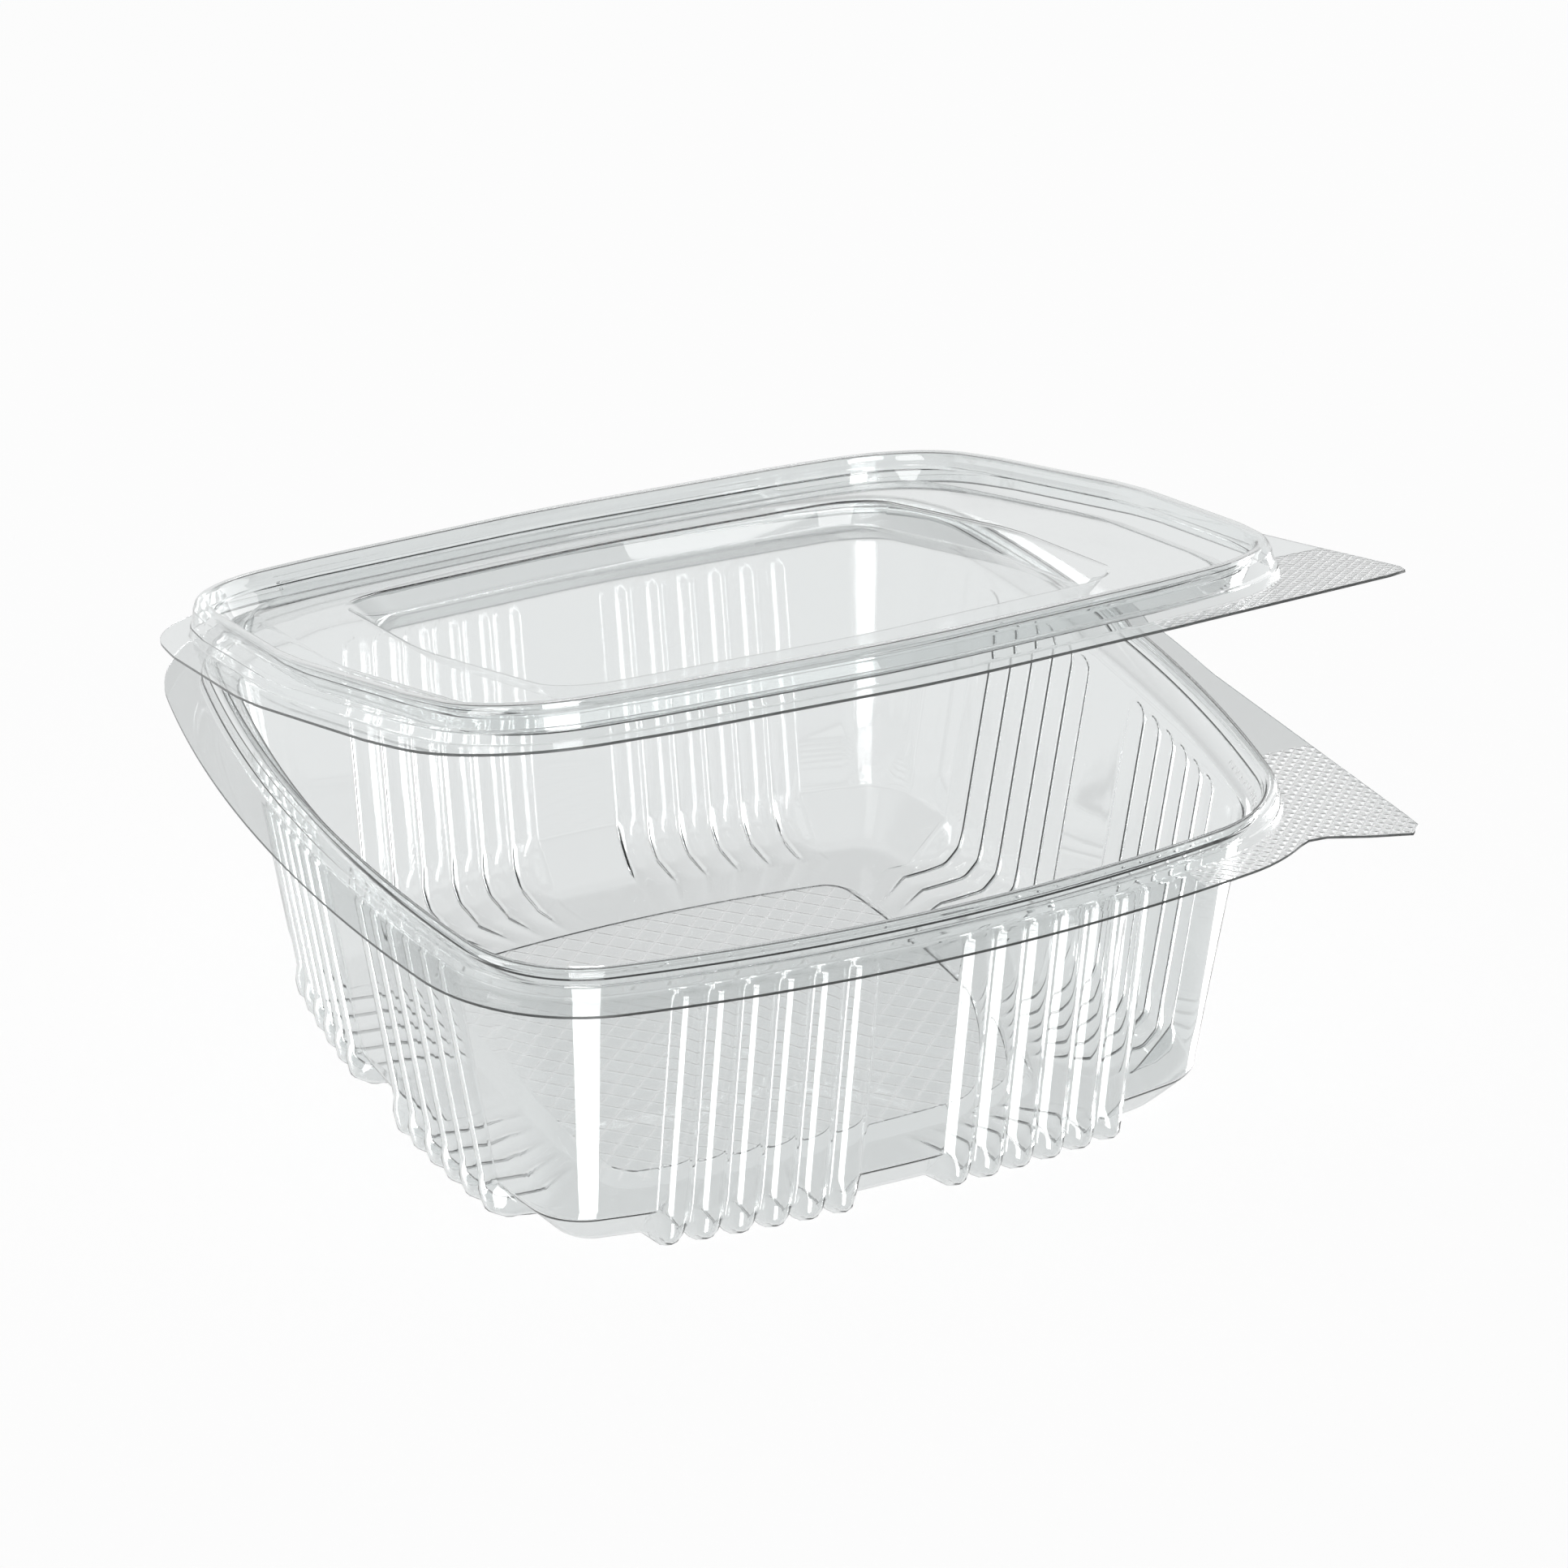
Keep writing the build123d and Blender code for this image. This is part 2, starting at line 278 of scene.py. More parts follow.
def sheet_mesh(name, grid, fine, kept, place=None):
    """Object with skins half a sheet either side of grid[row, column], a cut edge and a flat middle."""
    rows, columns = grid.shape[:2]
    along = np.roll(grid, -1, axis=1) - np.roll(grid, 1, axis=1)
    inward = np.gradient(grid, axis=0)
    normal = np.cross(along, inward)
    normal /= np.linalg.norm(normal, axis=2, keepdims=True)
    skins = [grid + normal * SHEET / 2, grid - normal * SHEET / 2]
    centres = [skin[-1].mean(axis=0, keepdims=True) for skin in skins]
    points = np.concatenate([skins[0].reshape(-1, 3), centres[0], skins[1].reshape(-1, 3), centres[1]]) * MM
    index = np.arange(rows * columns).reshape(rows, columns)
    size = rows * columns + 1
    upper = row_faces(index, fine, kept)
    stops = np.flatnonzero(kept)
    for j, end in zip(stops, np.roll(stops, -1)):
        upper.append([index[-1, j], index[-1, end], size - 1])
    lower = [[point + size for point in reversed(face)] for face in upper]
    edge = [[j + size, end + size, end, j] for j, end in zip(stops, np.roll(stops, -1))]
    faces = upper + lower + edge
    used, order = np.unique(np.concatenate(faces), return_inverse=True)
    cuts = np.cumsum([len(face) for face in faces])[:-1]
    mesh = bpy.data.meshes.new(name)
    mesh.from_pydata(points[used].tolist(), [], [face.tolist() for face in np.split(order, cuts)])
    if place is not None:
        mesh.transform(place)
    mesh.polygons.foreach_set("use_smooth", np.ones(len(faces), bool))
    finish = np.zeros(len(faces), np.int32)
    finish[-len(edge) :] = 1
    mesh.polygons.foreach_set("material_index", finish)
    ends = np.zeros(2 * len(mesh.edges), np.int32)
    mesh.edges.foreach_get("vertices", ends)
    ends = used[ends].reshape(-1, 2)
    on_edge = (ends % size < columns).all(axis=1)
    same_skin = (ends[:, 0] < size) == (ends[:, 1] < size)
    mesh.edges.foreach_set("use_edge_sharp", on_edge & same_skin)
    piece = bpy.data.objects.new(name, mesh)
    bpy.context.collection.objects.link(piece)
    return piece


def flute_bulge(places, depth, ridge, height=0.0):
    """How far each column stands out, from 0 on the plain wall to 1 on a flute's keel.

    The height is how far the row lies above the place where the flutes have their full width.
    """
    half = FLUTE_PITCH / 2
    s = np.abs(places)
    k = np.clip(np.round((s - FLUTE_FIRST) / FLUTE_PITCH), 0, FLUTES - 1)
    off = np.minimum(np.hypot(s - FLUTE_FIRST - k * FLUTE_PITCH, height), half)
    reach = (half**2 + depth**2) / (2 * depth)
    hollow = reach - ridge
    groove = depth - hollow + np.sqrt(np.maximum(hollow**2 - off**2, 0))
    crest = ridge - np.sqrt(np.maximum(ridge**2 - (half - off) ** 2, 0))
    return np.where(off < half * hollow / reach, groove, crest) / depth


def kept_columns(places):
    """The columns that a row without flutes needs: those on a ridge, on a keel or beside the groups."""
    turns = (np.abs(places) - FLUTE_FIRST) / (FLUTE_PITCH / 2)
    on_line = np.abs(turns - np.round(turns)) < 0.01
    return on_line | (turns < -1) | (turns > 2 * FLUTES - 1)


def in_group(places):
    """1 at the cusps between two flutes of a group, 0 at its ends and beside it."""
    s = np.abs(places)
    return np.clip(np.minimum(s - GROUP_START, GROUP_END - s) / FLUTE_PITCH, 0, 1)


def wall_inset(z):
    """Inset of the plain tub wall at height z."""
    return WALL_TOP_INSET + WALL_SLOPE * (LEDGE_Z - z)


def build_tub():
    """Tub: flange with tab, stepped bead, ledge, fluted wall, feet, floor ring and raised panel."""
    places = side_places(True)
    top = FLANGE_TOP
    rim = rounded(
        [
            (5.0, FLANGE_MID, 0),
            (6.1, FLANGE_MID, 0.5),
            (6.45, top + 1.3, 0.35),
            (6.85, top + 1.6, 0.35),
            (7.1, top + 3.1, 0.6),
            (7.6, top + 3.95, 0.7),
            (8.5, top + 3.95, 0.7),
            (9.05, top + 2.8, 0.6),
            (9.3, top + 2.0, 0.4),
            (9.15, top + 1.5, 0.4),
            (10.9, LEDGE_Z, 0.7),
            (WALL_TOP_INSET, LEDGE_Z, 0.6),
            (wall_inset(FLUTE_TOP + 0.6), FLUTE_TOP + 0.6, 0),
        ]
    )
    rows = [(inset, z, CORNER_RADIUS - inset, None, None) for inset, z in rim]
    full = FLUTE_TOP - FLUTE_PITCH / 2
    heights = [FLUTE_TOP - FLUTE_PITCH / 2 * (1 - math.cos(t)) for t in np.linspace(0.15, math.pi / 2, 8)]
    heights += list(np.linspace(full, CREASE_Z + 1.5, 5)[1:])
    for z in heights:
        bulge = flute_bulge(places, FLUTE_DEPTH, RIDGE_RADIUS, max(z - full, 0))
        inset = wall_inset(z) - bulge * FLUTE_DEPTH
        rows.append((wall_inset(z), z, CORNER_RADIUS - wall_inset(z), inset, None))
    start = heights[-1]
    ground = SHEET / 2
    crease = wall_inset(CREASE_Z)
    foot = crease + HEEL_RUN
    toe = crease - FOOT_DEPTH
    # Lines down the heel: on the plain wall, between two feet and along a foot's keel
    plain = [
        (wall_inset(start), start, 0),
        (crease, CREASE_Z, 0.6),
        (foot, ground, 2.5),
        (STAND_INSET, ground, 0),
    ]
    cusp = plain[:2] + [
        (crease + 0.6, 4.4, 2.0),
        (foot - 4.0, ground + 1.4, 2.0),
        (STAND_INSET, ground, 0),
    ]
    keel = [
        (wall_inset(start) - FLUTE_DEPTH, start, 0),
        (wall_inset(FOOT_TOP) - FLUTE_DEPTH, FOOT_TOP, 0.3),
        (toe, FOOT_TOP - FOOT_STEP, 1.0),
        (toe + 0.7, 2.2, 2.2),
        (toe + 3.9, ground, 2.2),
        (STAND_INSET, ground, 0),
    ]
    lines = [resampled(rounded(line, 10), HEEL_ROWS)[1:] for line in (plain, cusp, keel)]
    slim = flute_bulge(places, FLUTE_DEPTH, RIDGE_RADIUS)[:, None]
    full_round = flute_bulge(places, FOOT_DEPTH, FOOT_RIDGE_RADIUS)[:, None]
    between = in_group(places)[:, None]
    for k, (p, q, r) in enumerate(zip(*lines)):
        base = p + between * (q - p)
        below = min(max((FOOT_TOP - r[1]) / FOOT_STEP, 0), 1)
        side = base + (slim + below * (full_round - slim)) * (r - base)
        fade = (k + 1) / (HEEL_ROWS - 1)
        corner = max(CORNER_RADIUS - p[0], HEEL_CORNER) * (1 - fade) + STAND_CORNER * fade
        rows.append((p[0], p[1], corner, side[:, 0], side[:, 1]))
    rise = rounded(
        [
            (STAND_INSET, ground, 0),
            (PANEL_FOOT, ground, 0.6),
            (PANEL_INSET, ground + PANEL_RISE, 0.8),
            (PANEL_FLAT, ground + PANEL_RISE, 0),
        ]
    )
    for inset, z in rise[1:]:
        fade = (inset - STAND_INSET) / (PANEL_FLAT - STAND_INSET)
        rows.append((inset, z, STAND_CORNER + (PANEL_CORNER - STAND_CORNER) * fade, None, None))
    return stacked("tub_sheet", rows, places, tub_tab())


def stacked(name, rows, places, tab, place=None):
    """Sheet through the rows, with a flange out to its cut edge.

    A row is its inset, height and corner radius on the plain stretches, and then the insets and heights of
    the columns along a side where they differ.
    """
    rings = []
    for plain, height, corner, inset, z in rows:
        plan = ring(plain, corner, places, inset)
        level = np.full((4, len(places) + TURN_COLUMNS), height)
        if z is not None:
            level[:, : len(places)] = z
        rings.append(np.concatenate([plan, level.reshape(-1, 1)], axis=1))
    outer = ring(EDGE_INSET, CORNER_RADIUS - EDGE_INSET, places)
    edge = flange_edge(rings[0][:, :2], outer, tab)
    edge = np.concatenate([edge, rings[0][:, 2:]], axis=1)
    flange = [edge + (rings[0] - edge) * t for t in (0, 0.04, 0.5)]
    fine = [False] * len(flange) + [row[3] is not None for row in rows]
    kept = np.ones((4, len(places) + TURN_COLUMNS), bool)
    kept[:, : len(places)] = kept_columns(places)
    return sheet_mesh(name, np.array(flange + rings), fine, kept.reshape(-1), place)


def build_lid():
    """Lid: flange with tab, stepped bead, trough, raised ring and sunk window, turned to the ajar angle."""
    places = side_places(False)
    profile = rounded(
        [
            (4.3, 0, 0),
            (5.2, 0, 0.5),
            (5.45, 1.9, 0.35),
            (5.95, 2.35, 0.35),
            (6.3, 4.6, 0.8),
            (6.95, 5.95, 0.9),
            (8.3, 5.95, 0.9),
            (8.9, 4.6, 0.6),
            (9.5, 3.9, 0.4),
            (9.45, 3.3, 0.4),
            (11.05, 0.35, 0.8),
            (12.7, 0.35, 0.8),
            (LID_RING_OUTER, 2.55, 1.6),
            (LID_RING_INNER, 2.55, 1.2),
            (33.8, -0.85, 1.0),
            (36.0, -0.85, 0),
        ]
    )
    rows = []
    for inset, z in profile:
        fade = min(max((inset - LID_RING_OUTER) / (LID_RING_INNER - LID_RING_OUTER), 0), 1)
        outside = CORNER_RADIUS - min(inset, LID_RING_OUTER)
        eased = max(inset - LID_RING_INNER, 0) * WINDOW_CORNER_EASE
        rows.append((inset, z, outside * (1 - fade) + WINDOW_CORNER * fade - eased, None, None))
    place = lid_swing() @ Matrix.Translation((0, 0, LID_Z * MM))
    return stacked("lid_sheet", rows, places, lid_tab(), place)


def lid_swing():
    """Turn about the fold from the closed lid to the ajar one."""
    fold = Vector((0, FOLD_Y * MM, FOLD_Z * MM))
    return Matrix.Translation(fold) @ Matrix.Rotation(LID_AJAR, 4, (-1, 0, 0)) @ Matrix.Translation(-fold)


def build_fold():
    """The bent strip of sheet that joins the two flanges at the back."""
    tub_end = Vector((FOLD_Y - FOLD_WIDTH, FLANGE_MID))
    lid_end = lid_swing() @ Vector((0, (FOLD_Y - FOLD_WIDTH) * MM, LID_Z * MM)) / MM
    bend = Vector((FOLD_Y - FOLD_GAP - SHEET / 2, (FLANGE_MID + LID_Z) / 2))
    line = []
    for t in np.linspace(0, 1, FOLD_STEPS + 1):
        pull = 2 * FOLD_PULL * t * (1 - t)
        point = tub_end * (1 - t) ** 2 + bend * pull + lid_end.yz * t * t
        line.append(point / ((1 - t) ** 2 + pull + t * t))
    ways = np.gradient(np.array(line), axis=0)
    ways /= np.linalg.norm(ways, axis=1, keepdims=True)
    sides = np.stack([-ways[:, 1], ways[:, 0]], axis=1) * SHEET / 2
    loop = np.concatenate([np.array(line) + sides, (np.array(line) - sides)[::-1]])
    mesh = bpy.data.meshes.new("fold_strip")
    count = len(loop)
    points = [(x * MM, y * MM, z * MM) for x in (-FOLD_HALF, FOLD_HALF) for y, z in loop]
    faces = [(k, (k + 1) % count, count + (k + 1) % count, count + k) for k in range(count)]
    faces += [tuple(range(count))[::-1], tuple(range(count, 2 * count))]
    mesh.from_pydata(points, [], faces)
    mesh.polygons.foreach_set("use_smooth", [k < count for k in range(len(faces))])
    piece = bpy.data.objects.new("fold_strip", mesh)
    bpy.context.collection.objects.link(piece)
    return piece, Vector((0, *tub_end)) * MM, Vector(lid_end) * MM


# Finish

SHEET_TINT = (0.965, 0.977, 0.977)
# Raised lines get a white base colour: a painted highlight standing in for the glints of the lamps on them
RAISED_PAINTED_HIGHLIGHT = (1.0, 1.0, 1.0)
RAISED_FROST = 0.25
SHEET_SHADOW = (0.93, 0.94, 0.94)
SHEET_IOR = 1.57
GLOSS_RANGE = (0.005, 0.026)
HAZE_SCALE = 45
# Cut edge colours: two dark greys, painted shade in place of the dark line that a clear edge shows, and the
# noise scale that mottles between them
EDGE_PAINTED_SHADES = ((0.16, 0.17, 0.17), (0.34, 0.35, 0.35))
EDGE_SHADOW = (0.6, 0.6, 0.6)
EDGE_ROUGHNESS = 0.3
EDGE_SHADE_MOTTLE_SCALE = 900

# Raised diamonds: their box, with the lid shut, and the pitch, half width and height of the lines
TUB_KNURL = (((45.0, 90.0), (-90.0, -42.5), (FLANGE_TOP - 0.6, FLANGE_TOP + 0.1)), 1.6, 0.8, 0.07)
PANEL_HATCH = (((-40.0, 40.0), (-40.0, 40.0), (1.0, 3.0)), 3.7, 0.45, 0.018)
LID_KNURL = (((40.0, 90.0), (-90.0, -48.0), (LID_Z - 0.4, LID_Z + 0.4)), 1.6, 0.8, 0.07)


def new_material(name):
    """Empty node material and its node and link makers."""
    material = bpy.data.materials.new(name)
    material.use_nodes = True
    tree = material.node_tree
    tree.nodes.clear()
    return material, tree.nodes, tree.links


def diamond_relief():
    """Node group: height of thin raised lines along both diagonals of the pack, measured along its axes."""
    tree = bpy.data.node_groups.new("diamond_relief", "ShaderNodeTree")
    tree.interface.new_socket("Place", in_out="INPUT", socket_type="NodeSocketVector")
    tree.interface.new_socket("HalfPitch", in_out="INPUT", socket_type="NodeSocketFloat")
    tree.interface.new_socket("Line", in_out="INPUT", socket_type="NodeSocketFloat")
    tree.interface.new_socket("Height", in_out="OUTPUT", socket_type="NodeSocketFloat")
    start = tree.nodes.new("NodeGroupInput")
    end = tree.nodes.new("NodeGroupOutput")
    split = tree.nodes.new("ShaderNodeSeparateXYZ")
    tree.links.new(start.outputs["Place"], split.inputs["Vector"])
    near = []
    for operation in ("ADD", "SUBTRACT"):
        across = calculate(tree, operation, split.outputs["X"], split.outputs["Y"])
        near.append(calculate(tree, "PINGPONG", across, start.outputs["HalfPitch"]))
    share = calculate(tree, "DIVIDE", calculate(tree, "MINIMUM", *near), start.outputs["Line"])
    height = calculate(tree, "SUBTRACT", 1.0, share)
    height.node.use_clamp = True
    tree.links.new(height, end.inputs["Height"])


def sheet_haze():
    """Node group: the faint uneven haze that forming leaves on the sheet."""
    tree = bpy.data.node_groups.new("sheet_haze", "ShaderNodeTree")
    tree.interface.new_socket("Place", in_out="INPUT", socket_type="NodeSocketVector")
    tree.interface.new_socket("Haze", in_out="OUTPUT", socket_type="NodeSocketFloat")
    start = tree.nodes.new("NodeGroupInput")
    end = tree.nodes.new("NodeGroupOutput")
    patches = tree.nodes.new("ShaderNodeTexNoise")
    patches.inputs["Scale"].default_value = HAZE_SCALE
    patches.inputs["Detail"].default_value = 1
    tree.links.new(start.outputs["Place"], patches.inputs["Vector"])
    tree.links.new(patches.outputs["Fac"], end.inputs["Haze"])


def calculate(tree, operation, first, second):
    """Output of a math node fed with two sockets or numbers."""
    node = tree.nodes.new("ShaderNodeMath")
    node.operation = operation
    for socket, value in zip(node.inputs, (first, second)):
        if isinstance(value, (int, float)):
            socket.default_value = value
        else:
            tree.links.new(value, socket)
    return node.outputs[0]


def inside(tree, place, box):
    """Mask that is 1 where the place lies in the box, given as its ends along each axis in millimetres."""
    steps = (
        ("SUBTRACT", [(low + high) / 2 * MM for low, high in box]),
        ("DIVIDE", [(high - low) / 2 * MM for low, high in box]),
        ("ABSOLUTE", None),
    )
    for operation, value in steps:
        node = tree.nodes.new("ShaderNodeVectorMath")
        node.operation = operation
        tree.links.new(place, node.inputs[0])
        if value is not None:
            node.inputs[1].default_value = value
        place = node.outputs["Vector"]
    split = tree.nodes.new("ShaderNodeSeparateXYZ")
    tree.links.new(place, split.inputs["Vector"])
    widest = calculate(tree, "MAXIMUM", split.outputs["X"], split.outputs["Y"])
    widest = calculate(tree, "MAXIMUM", widest, split.outputs["Z"])
    return calculate(tree, "LESS_THAN", widest, 1.0)


def clear_sheet(name, tint, patterns, turned_back=0.0):
    """Clear formed polyester, glossy and faintly hazy, with raised diamonds where patterns have them; their
    lines are frosted and painted lighter than the sheet, a painted highlight.
    """
    material, nodes, links = new_material(name)
    tree = material.node_tree
    place = nodes.new("ShaderNodeTexCoord")
    level = nodes.new("ShaderNodeVectorRotate")
    level.inputs["Center"].default_value = (0, FOLD_Y * MM, FOLD_Z * MM)
    level.inputs["Axis"].default_value = (1, 0, 0)
    level.inputs["Angle"].default_value = turned_back
    links.new(place.outputs["Object"], level.inputs["Vector"])
    haze = nodes.new("ShaderNodeGroup")
    haze.node_tree = bpy.data.node_groups["sheet_haze"]
    links.new(place.outputs["Object"], haze.inputs["Place"])
    height = 0.0
    relief_and_highlight_mask = 0.0
    for box, pitch, line, relief in patterns:
        lines = nodes.new("ShaderNodeGroup")
        lines.node_tree = bpy.data.node_groups["diamond_relief"]
        links.new(level.outputs["Vector"], lines.inputs["Place"])
        lines.inputs["HalfPitch"].default_value = pitch * MM / math.sqrt(2)
        lines.inputs["Line"].default_value = line * MM * math.sqrt(2)
        mask = inside(tree, level.outputs["Vector"], box)
        raised = calculate(tree, "MULTIPLY", lines.outputs["Height"], mask)
        relief_and_highlight_mask = calculate(tree, "ADD", raised, relief_and_highlight_mask)
        height = calculate(tree, "ADD", height, calculate(tree, "MULTIPLY", raised, relief))
    # Painted highlight: the mask of the raised lines mixes the sheet colour to white; the same mask frosts
    # the lines
    colour = nodes.new("ShaderNodeMix")
    colour.data_type = "RGBA"
    colour.inputs["A"].default_value = (*tint, 1)
    colour.inputs["B"].default_value = (*RAISED_PAINTED_HIGHLIGHT, 1)
    links.new(relief_and_highlight_mask, colour.inputs["Factor"])
    bump = nodes.new("ShaderNodeBump")
    bump.inputs["Strength"].default_value = 1.0
    bump.inputs["Distance"].default_value = MM
    links.new(height, bump.inputs["Height"])
    sheet = nodes.new("ShaderNodeBsdfPrincipled")
    links.new(colour.outputs["Result"], sheet.inputs["Base Color"])
    gloss = nodes.new("ShaderNodeMapRange")
    gloss.inputs["To Min"].default_value = GLOSS_RANGE[0]
    gloss.inputs["To Max"].default_value = GLOSS_RANGE[1]
    links.new(haze.outputs["Haze"], gloss.inputs["Value"])
    frost = calculate(tree, "MULTIPLY", relief_and_highlight_mask, RAISED_FROST)
    links.new(calculate(tree, "ADD", gloss.outputs["Result"], frost), sheet.inputs["Roughness"])
    sheet.inputs["IOR"].default_value = SHEET_IOR
    sheet.inputs["Transmission Weight"].default_value = 1.0
    links.new(bump.outputs["Normal"], sheet.inputs["Normal"])
    let_shadows_through(nodes, links, sheet, SHEET_SHADOW)
    return material


def cut_edge():
    """The sheared edge of the sheet, slightly frosted and painted dark grey: painted shade for the dark line
    that a clear cut edge shows.
    """
    material, nodes, links = new_material("cut_edge")
    place = nodes.new("ShaderNodeTexCoord")
    # Painted shade: noise mottles the cut edge between two dark greys
    shade_mottle = nodes.new("ShaderNodeTexNoise")
    shade_mottle.inputs["Scale"].default_value = EDGE_SHADE_MOTTLE_SCALE
    links.new(place.outputs["Object"], shade_mottle.inputs["Vector"])
    shade = nodes.new("ShaderNodeValToRGB")
    for stop, tint in zip(shade.color_ramp.elements, EDGE_PAINTED_SHADES):
        stop.color = (*tint, 1)
    links.new(shade_mottle.outputs["Fac"], shade.inputs["Fac"])
    sheet = nodes.new("ShaderNodeBsdfPrincipled")
    links.new(shade.outputs["Color"], sheet.inputs["Base Color"])
    sheet.inputs["Roughness"].default_value = EDGE_ROUGHNESS
    sheet.inputs["IOR"].default_value = SHEET_IOR
    sheet.inputs["Transmission Weight"].default_value = 0.5
    let_shadows_through(nodes, links, sheet, EDGE_SHADOW)
    return material


def let_shadows_through(nodes, links, sheet, colour):
    """Finish that casts only the pale shadow of a clear sheet."""
    see_through = nodes.new("ShaderNodeBsdfTransparent")
    see_through.inputs["Color"].default_value = (*colour, 1)
    path = nodes.new("ShaderNodeLightPath")
    mix = nodes.new("ShaderNodeMixShader")
    links.new(path.outputs["Is Shadow Ray"], mix.inputs["Fac"])
    links.new(sheet.outputs["BSDF"], mix.inputs[1])
    links.new(see_through.outputs["BSDF"], mix.inputs[2])
    out = nodes.new("ShaderNodeOutputMaterial")
    links.new(mix.outputs["Shader"], out.inputs["Surface"])


# Studio

CAMERA_AT = (-0.4279, -0.9178, 0.5586)
CAMERA_AZIMUTH = -25.48
CAMERA_ELEVATION = 26.82
CAMERA_LENS = 158.4
FLOOR_HALF = 4.0
FLOOR_DROP = 0.0002
FLOOR_WHITE = (0.9, 0.9, 0.9)
FLOOR_GLOW = 0.92
LIGHT_BOUNCES = 12

# The room's tone by how far up a ray points, and how dim its front half is in reflections
ROOM_TONES = (
    (0.0, (0.81, 0.82, 0.82)),
    (0.12, (0.83, 0.83, 0.83)),
    (0.25, (0.14, 0.1414, 0.1414)),
    (0.6, (0.1, 0.101, 0.101)),
    (0.8, (0.4, 0.404, 0.404)),
    (0.95, (0.1, 0.101, 0.101)),
)
FRONT_EDGE = (-0.35, 0.15)
FRONT_SHADE = 0.2

# Soft boxes: name, place, width and height, brightness, and whether it shines up through the floor
LAMPS = (
    ("left_box", (-1.1, 0.1, 0.8), (0.5, 0.7), 5, False),
    ("right_box", (1.2, 0.3, 0.6), (0.9, 0.7), 2.5, False),
    ("back_box", (0.5, 1.0, 0.58), (0.2, 0.15), 4, False),
    ("top_box", (0.1, 0.5, 1.3), (0.8, 0.5), 4, False),
    ("low_strip", (-0.233, -0.577, -0.453), (0.3, 0.55), 6, True),
    ("far_strip", (-0.369, -0.913, -0.145), (0.42, 0.16), 18, True),
    ("right_low", (0.87, 0.32, -0.33), (0.45, 0.45), 8, True),
    ("high_box", (-0.25, -0.45, 1.1), (0.3, 0.22), 9, False),
)
LAMP_AIM = (0, 0, 0.05)


def build_camera():
    """Camera at the photograph's viewing angle."""
    camera = bpy.data.cameras.new("camera")
    camera.sensor_width = 36
    camera.lens = CAMERA_LENS
    camera.clip_end = 20
    seat = bpy.data.objects.new("camera", camera)
    seat.location = CAMERA_AT
    seat.rotation_euler = (math.radians(90 - CAMERA_ELEVATION), 0, math.radians(CAMERA_AZIMUTH))
    bpy.context.collection.objects.link(seat)
    bpy.context.scene.camera = seat


def build_floor():
    """Wide white floor that keeps a soft shadow; in the sheet the pale foot of the room stands in for it."""
    mesh = bpy.data.meshes.new("floor")
    r = FLOOR_HALF
    mesh.from_pydata([(-r, -r, 0), (r, -r, 0), (r, r, 0), (-r, r, 0)], [], [(0, 1, 2, 3)])
    floor = bpy.data.objects.new("floor", mesh)
    floor.location.z = -FLOOR_DROP
    floor.visible_glossy = False
    floor.visible_transmission = False
    bpy.context.collection.objects.link(floor)
    material, nodes, links = new_material("white_floor")
    matte = nodes.new("ShaderNodeBsdfDiffuse")
    matte.inputs["Color"].default_value = (*FLOOR_WHITE, 1)
    glow = nodes.new("ShaderNodeEmission")
    glow.inputs["Color"].default_value = (1, 1, 1, 1)
    path = nodes.new("ShaderNodeLightPath")
    seen = nodes.new("ShaderNodeMixShader")
    share = calculate(material.node_tree, "MULTIPLY", path.outputs["Is Camera Ray"], FLOOR_GLOW)
    links.new(share, seen.inputs["Fac"])
    links.new(matte.outputs["BSDF"], seen.inputs[1])
    links.new(glow.outputs["Emission"], seen.inputs[2])
    out = nodes.new("ShaderNodeOutputMaterial")
    links.new(seen.outputs["Shader"], out.inputs["Surface"])
    mesh.materials.append(material)


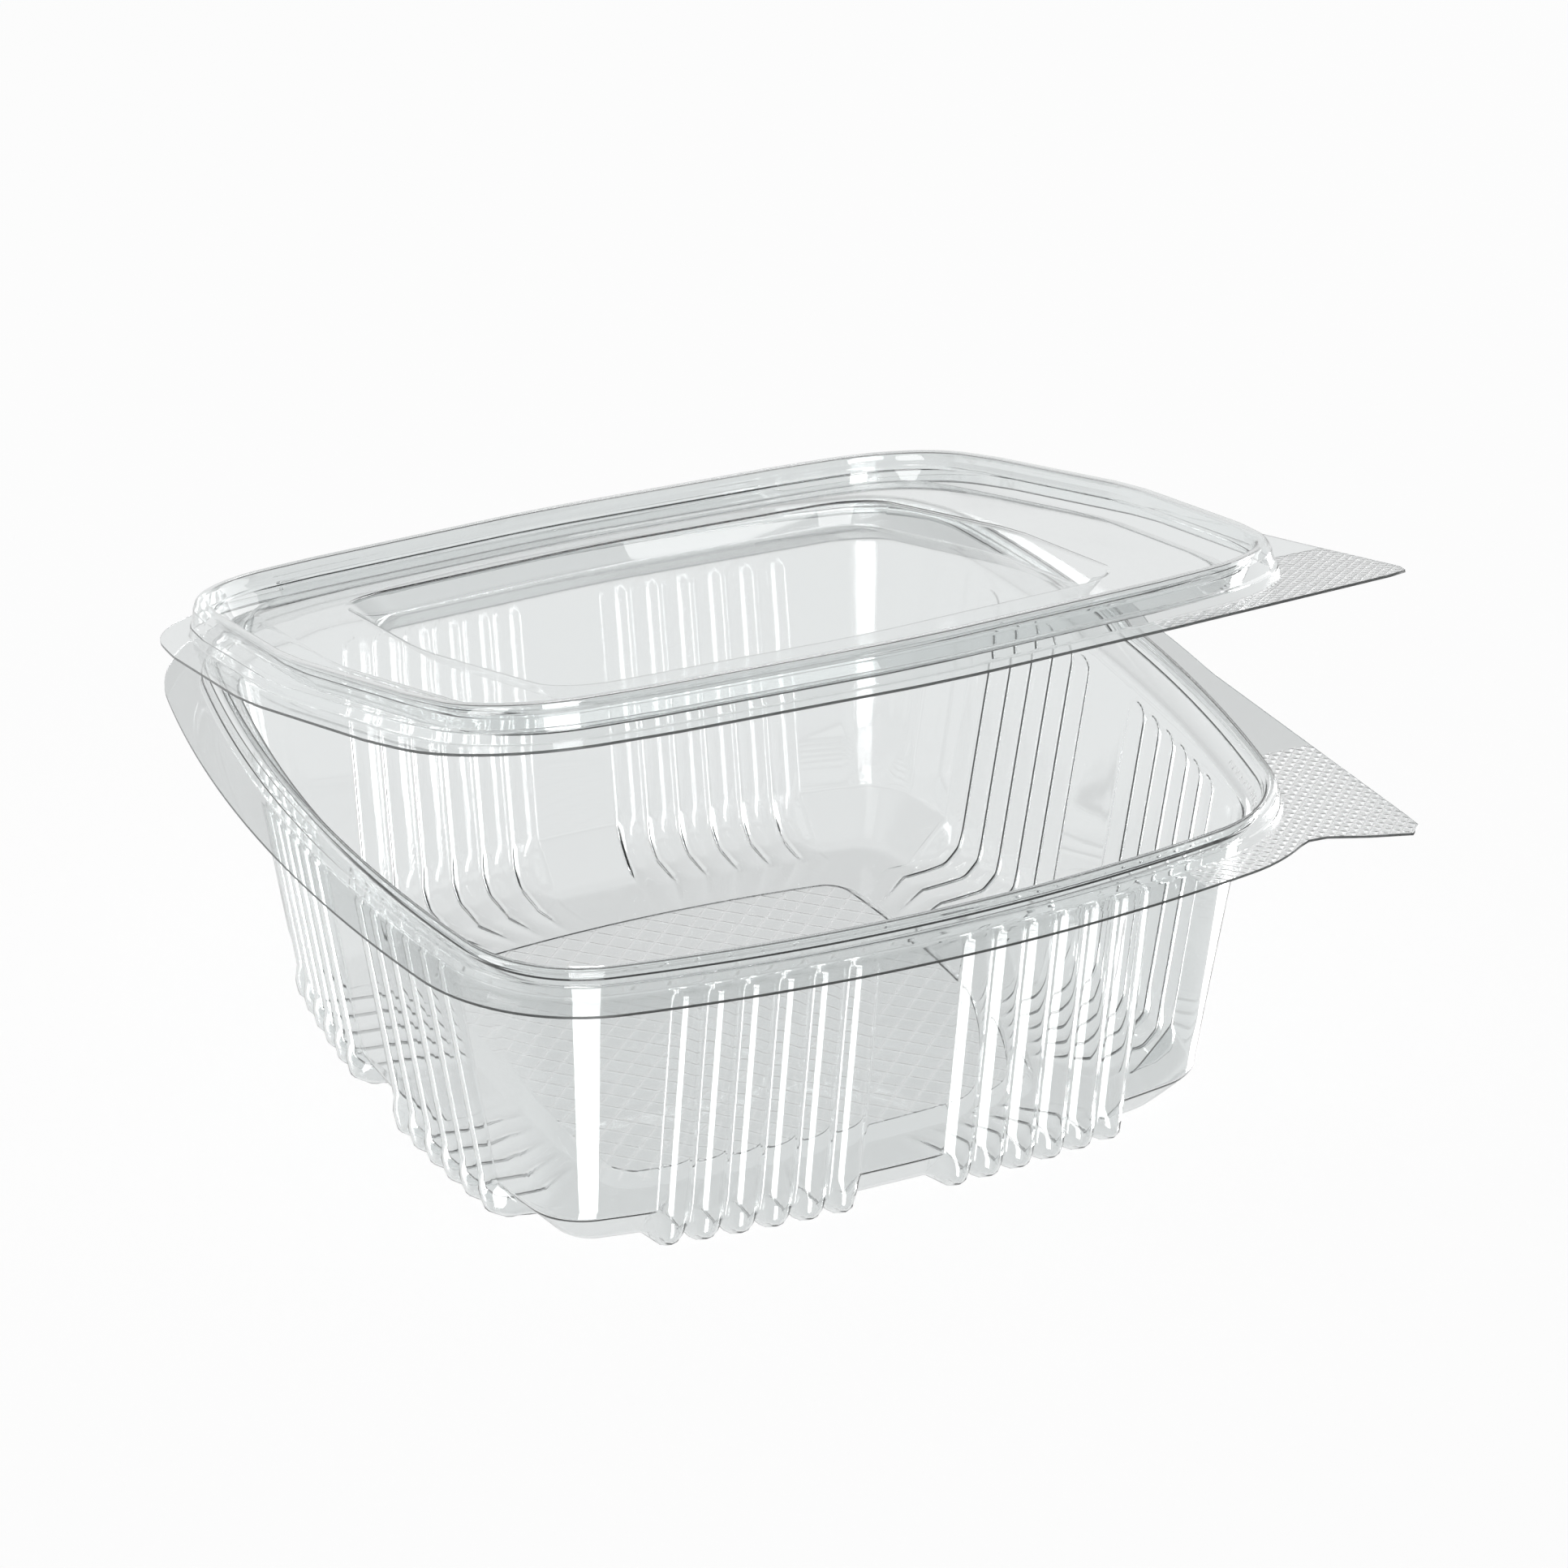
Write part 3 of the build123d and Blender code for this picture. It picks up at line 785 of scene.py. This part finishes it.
def build_world():
    """White background; the room that the sheet mirrors and bends is pale low down and dim higher up."""
    world = bpy.data.worlds.new("studio")
    bpy.context.scene.world = world
    world.use_nodes = True
    tree = world.node_tree
    nodes, links = tree.nodes, tree.links
    nodes.clear()
    place = nodes.new("ShaderNodeTexCoord")
    split = nodes.new("ShaderNodeSeparateXYZ")
    links.new(place.outputs["Generated"], split.inputs["Vector"])
    ramp = nodes.new("ShaderNodeValToRGB")
    stops = ramp.color_ramp.elements
    stops.remove(stops[1])
    for k, (position, tone) in enumerate(ROOM_TONES):
        stop = stops.new(position) if k else stops[0]
        stop.position = position
        stop.color = (*tone, 1)
    links.new(split.outputs["Z"], ramp.inputs["Fac"])
    behind = nodes.new("ShaderNodeMapRange")
    behind.inputs["From Min"].default_value = FRONT_EDGE[0]
    behind.inputs["From Max"].default_value = FRONT_EDGE[1]
    behind.inputs["To Min"].default_value = FRONT_SHADE
    links.new(split.outputs["Y"], behind.inputs["Value"])
    room = nodes.new("ShaderNodeMix")
    room.data_type = "RGBA"
    room.inputs["A"].default_value = (0, 0, 0, 1)
    path = nodes.new("ShaderNodeLightPath")
    lit = calculate(tree, "MAXIMUM", behind.outputs["Result"], path.outputs["Is Transmission Ray"])
    links.new(lit, room.inputs["Factor"])
    links.new(ramp.outputs["Color"], room.inputs["B"])
    mix = nodes.new("ShaderNodeMix")
    mix.data_type = "RGBA"
    links.new(path.outputs["Is Camera Ray"], mix.inputs["Factor"])
    links.new(room.outputs["Result"], mix.inputs["A"])
    mix.inputs["B"].default_value = (1, 1, 1, 1)
    sky = nodes.new("ShaderNodeBackground")
    links.new(mix.outputs["Result"], sky.inputs["Color"])
    out = nodes.new("ShaderNodeOutputWorld")
    links.new(sky.outputs["Background"], out.inputs["Surface"])


def add_lamp(name, at, size, level, through):
    """Soft box of this width and height, whose face is as bright as level times white.

    One that shines up through the floor shows only as a reflection in the sheet.
    """
    light = bpy.data.lights.new(name, "AREA")
    light.shape = "RECTANGLE"
    light.size, light.size_y = size
    light.energy = level * math.pi * size[0] * size[1]
    light.use_shadow = not through
    if through:
        light.use_nodes = True
        tree = light.node_tree
        path = tree.nodes.new("ShaderNodeLightPath")
        mirrored = calculate(tree, "MINIMUM", path.outputs["Glossy Depth"], 1.0)
        tree.links.new(mirrored, tree.nodes["Emission"].inputs["Strength"])
    lamp = bpy.data.objects.new(name, light)
    lamp.location = at
    lamp.rotation_euler = (Vector(at) - Vector(LAMP_AIM)).to_track_quat("Z", "Y").to_euler()
    lamp.visible_camera = False
    lamp.visible_transmission = through
    bpy.context.collection.objects.link(lamp)


def build_studio():
    """Floor, world, lamps and camera."""
    build_camera()
    build_floor()
    build_world()
    for lamp in LAMPS:
        add_lamp(*lamp)
    scene = bpy.context.scene
    scene.view_settings.view_transform = "Standard"
    scene.cycles.max_bounces = LIGHT_BOUNCES
    scene.cycles.transmission_bounces = LIGHT_BOUNCES
    scene.cycles.transparent_max_bounces = LIGHT_BOUNCES


tub = build_tub()
lid = build_lid()
for piece, body in ((tub, "tub"), (lid, "lid")):
    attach(piece, body)
    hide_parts(body)
sheet_haze()
diamond_relief()
edge = cut_edge()
tub.data.materials.append(clear_sheet("tub_clear_sheet", SHEET_TINT, (TUB_KNURL, PANEL_HATCH)))
tub.data.materials.append(edge)
lid.data.materials.append(clear_sheet("lid_clear_sheet", SHEET_TINT, (LID_KNURL,), LID_AJAR))
lid.data.materials.append(edge)
fold, fold_start, fold_end = build_fold()
fold.data.materials.append(tub.data.materials[0])
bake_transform(fold)
build_studio()
